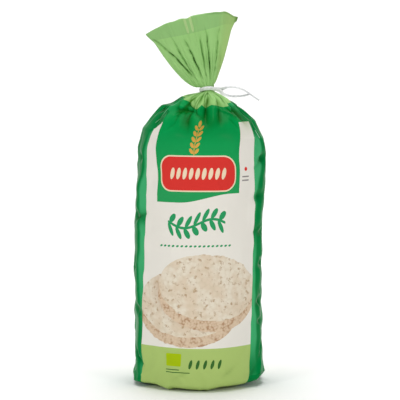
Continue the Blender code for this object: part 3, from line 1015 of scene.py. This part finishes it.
def top_field(add, inks, place, across, up):
    """The green field of the front panel, with a waved lower edge."""
    wave = add("MapRange", across, -16.0, 24.0, 143.6, 150.2, interpolation_type="SMOOTHSTEP")
    corner = add("MapRange", up, 194.0, PANEL_TOP, -50.5, -38.4)
    corner = both(add, add("Math", across, corner, operation="LESS_THAN"),
                  box(add, place, (-50, 200), (10, 8)))
    inks = paint(add, inks, corner, linear(INK_GREEN_SHADED))
    left = add("MapRange", up, 167.0, PANEL_TOP, -35.2, -38.6)
    field = both(add, above(add, up, wave), above(add, across, left))
    field = both(add, field, add("Math", across, 31.6, operation="LESS_THAN"))
    field = both(add, field, add("Math", up, PANEL_TOP + 1, operation="LESS_THAN"))
    # The field's green runs up into the painted-light green at its top.
    ink = add("Mix", add("MapRange", up, 150.0, PANEL_TOP, 0.0, 1.0), linear(INK_FIELD),
              linear(INK_GREEN_LIT), data_type="RGBA")
    return paint(add, inks, field, ink)


def plaque(add, inks, place, centre):
    """A red plaque with a cream keyline, and a row of rice grains across it."""
    for half, corner, ink in (((30.2, 13.6), 9.5, INK_KEYLINE), ((29.2, 12.6), 8.7, INK_RED)):
        inks = paint(add, inks, box(add, place, centre, half, corner), linear(ink))
    cell = repeated(add, place, centre, (5.0, 0))
    row = both(add, oval(add, cell, (0, 0), (1.6, 4.5), -14),
               box(add, place, centre, (22.5, 8)))
    return paint(add, inks, row, linear(INK_KEYLINE))


def rice_ear(add, inks, place, centre):
    """An upright ear: pairs of golden grains that lean out from a stem."""
    cell = add("SeparateXYZ", repeated(add, place, centre, (0, 4.4)))
    mirrored = add("CombineXYZ", add("Math", cell, operation="ABSOLUTE"), cell.node.outputs["Y"])
    grains = both(add, oval(add, mirrored, (2.1, 0), (1.15, 2.35), -34),
                  box(add, place, centre, (7, 11)))
    stem = box(add, place, (centre[0], centre[1] - 3), (0.35, 11))
    tip = oval(add, place, (centre[0], centre[1] + 12.3), (1.3, 3.0))
    for mask, ink in ((stem, INK_GOLD), (grains, INK_GOLD), (tip, INK_GOLD)):
        inks = paint(add, inks, mask, linear(ink))
    return inks


def sprig(add, inks, place, across, up, centre):
    """A leafy branch that lies across the panel on a slow wave."""
    swing = add("Math", add("Math", across, 0.145, operation="MULTIPLY"), operation="SINE")
    rise = add("Math", swing, 3.4, operation="MULTIPLY")
    flat = add("CombineXYZ", across, add("Math", up, rise, operation="SUBTRACT"))
    stem = box(add, flat, centre, (22.7, 1.0), 0.8)
    cell = repeated(add, flat, centre, (6.5, 0))
    leaf_up = oval(add, cell, (0.6, 4.4), (4.5, 1.8), 62)
    leaf_down = oval(add, cell, (-0.4, -4.4), (4.5, 1.8), -62)
    leaves = add("Math", leaf_up, leaf_down, operation="MAXIMUM")
    leaves = both(add, leaves, box(add, flat, centre, (22.75, 10)))
    shape = add("Math", stem, leaves, operation="MAXIMUM")
    return paint(add, inks, shape, linear(INK_SPRIG))


def small_marks(add, inks, place):
    """A dotted rule, a lime tile with two bars, dark grains, and a red dot over two bars."""
    cell = repeated(add, place, (-2, 111), (3.4, 0))
    dots = both(add, oval(add, cell, (0, 0), (1.15, 0.75), 20), box(add, place, (-2, 111), (28.9, 2)))
    cell = repeated(add, place, (7.3, 21.4), (5.6, 0))
    grains = both(add, oval(add, cell, (0, 0), (1.25, 3.6), -12),
                  box(add, place, (7.3, 21.4), (14.0, 5)))
    for mask, ink in (
        (dots, INK_SPRIG),
        (box(add, place, (-17.6, 24.5), (6.3, 4.9), 0.9), INK_LIME),
        (box(add, place, (-18.3, 16.9), (5.6, 0.35)), INK_MARK),
        (box(add, place, (-14.0, 14.9), (9.9, 0.35)), INK_MARK),
        (grains, INK_MARK),
        (oval(add, place, (37.7, 168.2), (1.5, 1.5)), INK_RED),
        (box(add, place, (37.7, 162.4), (3.6, 0.5)), INK_NOTE),
        (box(add, place, (37.7, 159.6), (3.6, 0.5)), INK_NOTE),
    ):
        inks = paint(add, inks, mask, linear(ink))
    return inks


def back_marks(add, inks, place, across, up):
    """The plain ruled table and bars of the back panel, either side of its lap seam."""
    behind = add("Math", add("Math", across, HALF_ROUND), HALF_ROUND, -HALF_ROUND,
                 operation="WRAP")
    place = add("CombineXYZ", behind, up)
    lines = repeated(add, place, (0, 60), (0, 4.4))
    lines = box(add, lines, (0, 0), (60, 0.45))
    short = both(add, lines, box(add, place, (-27, 142), (11.5, 34)))
    ruled = both(add, lines, box(add, place, (27, 152), (12.0, 20)))
    frame = add("Math", box(add, place, (27, 152), (12.6, 21.2), 0.8),
                box(add, place, (27, 152), (12.0, 20.6), 0.6), operation="SUBTRACT")
    for mask, ink in (
        (short, INK_NOTE), (ruled, INK_NOTE), (frame, INK_NOTE),
        (box(add, place, (-27, 186), (11.5, 4.5), 2.0), INK_FIELD),
        (box(add, place, (27, 182), (12.6, 2.2), 0.8), INK_FIELD),
        (box(add, place, (27, 118), (6.3, 4.9), 0.9), INK_LIME),
        (box(add, place, (-27, 92), (11.5, 7.0), 1.5), INK_RED),
    ):
        inks = paint(add, inks, mask, linear(ink))
    return inks


def painted_fold_highlights(add, inks, place):
    """Painted highlights along hard folds: two in the seal, some on the gussets."""
    seal_middle = SEAL_LINE + 6.0
    for centre, half, angle, ink, strength in (
        ((-12.5, seal_middle), (2.2, 5.6), 0, INK_SEAL_HIGHLIGHT, 0.4),
        ((-2.6, seal_middle + 0.6), (2.4, 5.8), 2, INK_SEAL_HIGHLIGHT, 0.4),
        ((55.5, 193.5), (0.45, 3.2), 14, INK_FOLD_HIGHLIGHT, 0.6),
        ((63.5, 115.0), (0.6, 3.6), -6, INK_FOLD_HIGHLIGHT, 0.7),
        ((-56.0, 26.0), (0.9, 5.0), 50, INK_FOLD_HIGHLIGHT, 0.6),
        ((-60.0, 16.5), (0.5, 3.2), -40, INK_FOLD_HIGHLIGHT, 0.45),
        ((-59.5, 12.0), (0.4, 2.0), -38, INK_FOLD_HIGHLIGHT, 0.4),
        ((46.0, 199.0), (0.3, 2.0), 30, INK_FOLD_HIGHLIGHT, 0.6),
        ((-49.5, 207.0), (0.3, 4.2), -18, INK_FOLD_HIGHLIGHT, 0.5),
    ):
        mark = add("Math", box(add, place, centre, half, min(half), angle), strength,
                   operation="MULTIPLY")
        inks = paint(add, inks, mark, linear(ink))
    return inks


def print_colour(add):
    """The whole print, as one colour on the film's UV map."""
    sheet = add("UVMap", uv_map="film_sheet")
    place = add("VectorMath", sheet, (*SHEET_MM, 1), (-SHEET_MM[0] / 2, -BELOW_MM, 0),
                operation="MULTIPLY_ADD")
    across = add("SeparateXYZ", place)
    up = across.node.outputs["Y"]
    inks, panel = ground(add, place, across, up)
    inks = top_field(add, inks, place, across, up)
    pictured = printed_cake(add, inks, place, (-9, 67), (41, 25), -2, 7.5)
    shade = add("Mapping", place, (6.5, 74.5, 0), (0, 0, math.radians(-6)), (41.5, 26.5, 1),
                vector_type="TEXTURE")
    shade = add("MapRange", add("VectorMath", shade, operation="LENGTH"), 0.9, 1.12, 0.3, 0.0)
    on_cakes = cake_mask(add, place, (-9, 67), (41, 25), -2, 7.5)[1]
    pictured = paint(add, pictured, both(add, on_cakes, shade), linear(CAKE_TOAST))
    pictured = printed_cake(add, pictured, place, (9.5, 79.5), (40.5, 25), -6, 8.0)
    inks = paint(add, inks, both(add, panel, above(add, up, FOOT_BAND)), pictured)
    inks = rice_ear(add, inks, place, (-3.8, 191.0))
    inks = plaque(add, inks, place, (-2.2, 165.4))
    inks = sprig(add, inks, place, across, up, (-1.8, 128))
    inks = back_marks(add, inks, place, across, up)
    # The last layer is painted highlights along hard folds.
    return painted_fold_highlights(add, small_marks(add, inks, place), place), place


# %% Make the film's material
film_finish, film_shader, add = new_material("gravure_printed_polypropylene", Roughness=0.3,
                                             IOR=1.49, Specular_IOR_Level=0.025)
colour, sheet_place = print_colour(add)
# Painted shade: the attribute read below darkens the print in folds, creases, streaks, dents and
# gathers.
fold_shaded_colour = add("Mix", 1.0, colour, linear("7A9E5A"), data_type="RGBA", blend_type="MULTIPLY")
folded = add("Attribute", attribute_name="fold_shade").node.outputs["Fac"]
colour = add("Mix", folded, colour, fold_shaded_colour, data_type="RGBA")
film_finish.node_tree.links.new(colour, film_shader.inputs["Base Color"])
crinkle = add("TexNoise", sheet_place, 0.16, 4.0, 0.6, noise_dimensions="2D")
relief = add("Bump", 0.35, 0.4 * MM, None, crinkle)
film_finish.node_tree.links.new(relief, film_shader.inputs["Normal"])
film.data.materials.append(film_finish)
print("the print has", len(film_finish.node_tree.nodes), "nodes")

# %% The film stands for the solid bag
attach(film, "root")
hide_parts("film_bag")
# %% [markdown]
# ## The tie
#
# The neck is held by a flat plastic strip with a soft steel wire down its middle. It goes once
# round the neck, and its two ends run off to the right as an open loop. The wire holds any
# bend, so the strip needs no simulation: its section is extruded along the route, station by
# station. The strip stands on edge round the neck and turns to lie flat in the loose strands.

# %% The strip's section and its route
STRIP_HALF_WIDTH = 1.4 * MM
STRIP_HALF_THICKNESS = 0.15 * MM
WIRE_RADIUS = 0.36 * MM
STRIP_GAP = 0.9 * MM
STRIP_TURN = (62, 298)                # degrees round the neck, between the loose strands
STRIP_STEPS = 5                       # stations on the curve for each point of the route
STRIP_DROP = 0.3 * MM
STRIP_ARCH = 1.2 * MM                 # the strip rides up over the gathers in front
# A loose strand's points: (x, y, z) from the neck's middle in millimetres, and its roll.
UPPER_STRAND = (
    (39.6, -0.6, -8.6, 70), (36.2, -0.5, -6.4, 72), (32.8, -0.3, -4.0, 72),
    (28.2, 0.0, -1.0, 70), (23.4, 0.3, 0.9, 68), (18.6, 0.6, 1.5, 68),
    (14.6, 1.0, 1.3, 60), (11.4, 1.1, 0.2, 30), (8.8, 2.2, -0.3, 0),
)
LOWER_STRAND = (
    (8.8, -2.2, -0.8, 0), (10.6, -1.8, -2.5, -25), (13.2, -1.8, -4.2, -48),
    (18.0, -1.5, -5.4, -60), (23.6, -1.2, -5.4, -62), (28.4, -0.8, -4.9, -64),
    (31.8, -0.6, -3.9, -70),
)


def catmull(before, start, end, after, share):
    """A point on the smooth curve from start to end, given their neighbours."""
    return 0.5 * ((2 * start) + (end - before) * share
                  + (2 * before - 5 * start + 4 * end - after) * share ** 2
                  + (3 * start - before - 3 * end + after) * share ** 3)


def strip_route():
    """Points (x, y, z, roll) of the strip's middle: tail, upper strand, neck, lower strand."""
    radius = (NECK_RADIUS + NECK_PLEAT_DEPTH + STRIP_GAP) / MM
    tip = math.tan(FAN_LEAN / 3)
    turns = [math.radians(angle) for angle in spaced(*STRIP_TURN, 20)]
    arch = [STRIP_ARCH / MM * max(-math.sin(turn), 0.6 * math.sin(turn)) ** 2 for turn in turns]
    neck = [(radius * math.cos(turn), radius * math.sin(turn),
             tip * radius * math.cos(turn) + rise - STRIP_DROP / MM, 0)
            for turn, rise in zip(turns, arch)]
    stations = [Vector(point) for point in (*UPPER_STRAND, *neck, *LOWER_STRAND)]
    padded = [stations[0] * 2 - stations[1], *stations, stations[-1] * 2 - stations[-2]]
    found = [catmull(*padded[i:i + 4], step / STRIP_STEPS)
             for i in range(len(stations) - 1) for step in range(STRIP_STEPS)]
    return found + [stations[-1]]


def strip_section():
    """Points (out, across) round the strip: thin edges, and a round bulge over the wire."""
    bulge = [(WIRE_RADIUS * math.cos(angle), WIRE_RADIUS * math.sin(angle))
             for angle in (math.radians(degrees) for degrees in (-55, -28, 0, 28, 55))]
    side = [(0.6 * STRIP_HALF_THICKNESS, -STRIP_HALF_WIDTH),
            (STRIP_HALF_THICKNESS, -0.94 * STRIP_HALF_WIDTH),
            (STRIP_HALF_THICKNESS, -1.5 * WIRE_RADIUS), *bulge,
            (STRIP_HALF_THICKNESS, 1.5 * WIRE_RADIUS),
            (STRIP_HALF_THICKNESS, 0.94 * STRIP_HALF_WIDTH),
            (0.6 * STRIP_HALF_THICKNESS, STRIP_HALF_WIDTH)]
    return side + [(-out, across) for out, across in reversed(side)]


print("the strip is", 2 * STRIP_HALF_WIDTH / MM, "mm wide, with", len(strip_route()), "stations")

# %% Extrude the strip
def strip_mesh():
    """The strip, with its UV map: along it and across it, in metres."""
    bm = bmesh.new()
    uv = bm.loops.layers.uv.new("along_strip")
    route, section = strip_route(), strip_section()
    middle = Vector((lean(NECK_HEIGHT), 0, NECK_HEIGHT))
    ring = bmesh.ops.create_circle(bm, cap_ends=True, segments=len(section), radius=1)["verts"]
    run, place_of = 0.0, {}
    for number, station in enumerate(route):
        before, after = route[max(number - 1, 0)], route[min(number + 1, len(route) - 1)]
        ahead = (after - before).xyz.normalized()
        out = ahead.cross(Vector((0, 0, 1))).normalized()
        up = out.cross(ahead)
        turned = Matrix.Rotation(math.radians(station.w), 3, ahead)
        if number > 0:
            run += (station - route[number - 1]).xyz.length * MM
            ring = extruded_ring(bm, ring)
        for vert, (off, across) in zip(ring, section):
            vert.co = middle + station.xyz * MM + turned @ (out * off + up * across)
            place_of[vert] = (run, across)
    bmesh.ops.contextual_create(bm, geom=ring)
    for face in bm.faces:
        for corner in face.loops:
            corner[uv].uv = place_of[corner.vert]
    bmesh.ops.recalc_face_normals(bm, faces=bm.faces)
    mesh = bpy.data.meshes.new("wire_tie")
    bm.to_mesh(mesh)
    bm.free()
    mesh.shade_smooth()
    return mesh, run


tie_mesh, tie_length = strip_mesh()
wire_tie = bpy.data.objects.new("wire_tie", tie_mesh)
bpy.context.scene.collection.objects.link(wire_tie)
print("the strip is", round(tie_length / MM), "mm long from end to end")

# %% Finish the strip
tie_finish, tie_shader, add = new_material("calendered_white_polyethylene", Roughness=0.45,
                                           IOR=1.51, Transmission_Weight=0.08)
strip_place = add("VectorMath", add("UVMap", uv_map="along_strip"), (1000, 1000, 1),
                  operation="MULTIPLY")
cloudy = add("TexNoise", strip_place, 0.5, 3.0, 0.6, noise_dimensions="2D")
cloudy = add("MapRange", cloudy, 0.35, 0.65, 0.0, 1.0)
# Painted shade and light: the loose strands are painted greyer, and the band round the neck whiter.
strand_shade = add("Mix", cloudy, linear("E2E4E4"), linear("C8CACB"), data_type="RGBA")
band_light = add("Mix", cloudy, linear("FBFCFA"), linear("F0F2F0"), data_type="RGBA")
from_neck = add("Math", add("SeparateXYZ", strip_place), 59.0, operation="SUBTRACT")
round_neck = add("MapRange", add("Math", from_neck, operation="ABSOLUTE"), 20.0, 25.0, 1.0, 0.0)
white = add("Mix", round_neck, strand_shade, band_light, data_type="RGBA")
tie_finish.node_tree.links.new(white, tie_shader.inputs["Base Color"])
pressed = add("TexWave", strip_place, 0.5, 1.5, wave_type="BANDS", bands_direction="X")
tie_finish.node_tree.links.new(add("Bump", 0.2, 0.08 * MM, None, pressed),
                               tie_shader.inputs["Normal"])
wire_tie.data.materials.append(tie_finish)
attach(wire_tie, "root")
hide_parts("tie")


# %% [markdown]
# ## Floor and light
#
# The bag stands on a plain pale floor in soft studio light: small softboxes front left and right,
# a large one above, a light on the wall behind, and a dim white world that fills the shadows.

# %% Floor
COVE_RADIUS = 3.4             # metres from the bag to the wall that closes the studio round it
COVE_CURVE = 1.2
COVE_HEIGHT = 2.6
bm = bmesh.new()
centre = bm.verts.new((0, 0, 0))
edge = [centre]
corner = [(COVE_RADIUS - COVE_CURVE * (1 - math.sin(swing)), COVE_CURVE * (1 - math.cos(swing)))
          for swing in spaced(0, math.pi / 2, 12)]
for out, up in (*corner, (COVE_RADIUS, COVE_HEIGHT)):
    edge.append(bm.verts.new((out, 0, up)))
line = [bm.edges.new(pair) for pair in zip(edge, edge[1:])]
bmesh.ops.spin(bm, geom=edge + line, cent=(0, 0, 0), axis=(0, 0, 1), angle=2 * math.pi,
               steps=64, use_merge=True)
bmesh.ops.remove_doubles(bm, verts=bm.verts, dist=0.1 * MM)
bmesh.ops.recalc_face_normals(bm, faces=bm.faces)
floor_mesh = bpy.data.meshes.new("studio_floor")
bm.to_mesh(floor_mesh)
bm.free()
floor_mesh.shade_smooth()
floor = bpy.data.objects.new("studio_floor", floor_mesh)
bpy.context.scene.collection.objects.link(floor)
floor_finish, floor_shader, add = new_material("pale_paper", Roughness=0.9)
spot = add("SeparateXYZ", add("TexCoord").node.outputs["Object"])
beside = add("Math", spot, operation="ABSOLUTE")
beside = add("MapRange", beside, 0.6, 1.1, 0.0, 1.0, interpolation_type="SMOOTHSTEP")
far = add("VectorMath", spot.node.inputs["Vector"].links[0].from_socket, operation="LENGTH")
far = add("MapRange", far, 1.0, 2.4, 0.0, 1.0, interpolation_type="SMOOTHSTEP")
in_front = add("MapRange", spot.node.outputs["Y"], 0.3, -0.6, 0.0, 1.0,
               interpolation_type="SMOOTHSTEP")
away = add("Math", beside, in_front, operation="MAXIMUM")
shaded = add("Math", away, far, operation="MULTIPLY")
paper = add("Mix", shaded, linear("F9F9F8"), linear("BFBFBD"), data_type="RGBA")
floor_finish.node_tree.links.new(paper, floor_shader.inputs["Base Color"])
floor.data.materials.append(floor_finish)
print("the floor curves up into a round wall", COVE_RADIUS, "m away")

# %% Lights
LIGHTS = (
    ("left_softbox", (-1.2, -1.4, 0.8), 0.35, 7.6),
    ("right_softbox", (1.2, -1.4, 0.8), 0.35, 7.1),
    ("top_softbox", (0.0, 0.1, 2.3), 1.4, 27.0),
    ("cove_light", (0.0, 1.3, 2.5), 1.6, 46.0),
)
for name, place, size, power in LIGHTS:
    light = bpy.data.lights.new(name, "AREA")
    light.shape = "SQUARE"
    light.size = size
    light.energy = power
    lamp = bpy.data.objects.new(name, light)
    lamp.location = place
    target = Vector((0, 3.2, 0.6)) if name == "cove_light" else Vector((0, 0, 0.13))
    lamp.rotation_euler = (target - Vector(place)).to_track_quat("-Z", "Y").to_euler()
    lamp.visible_camera = False
    bpy.context.scene.collection.objects.link(lamp)
world = bpy.data.worlds.new("studio")
world.use_nodes = True
world.node_tree.nodes["Background"].inputs["Color"].default_value = (1, 1, 1, 1)
world.node_tree.nodes["Background"].inputs["Strength"].default_value = 0.38
bpy.context.scene.world = world
print(len(LIGHTS), "softboxes and a white world")
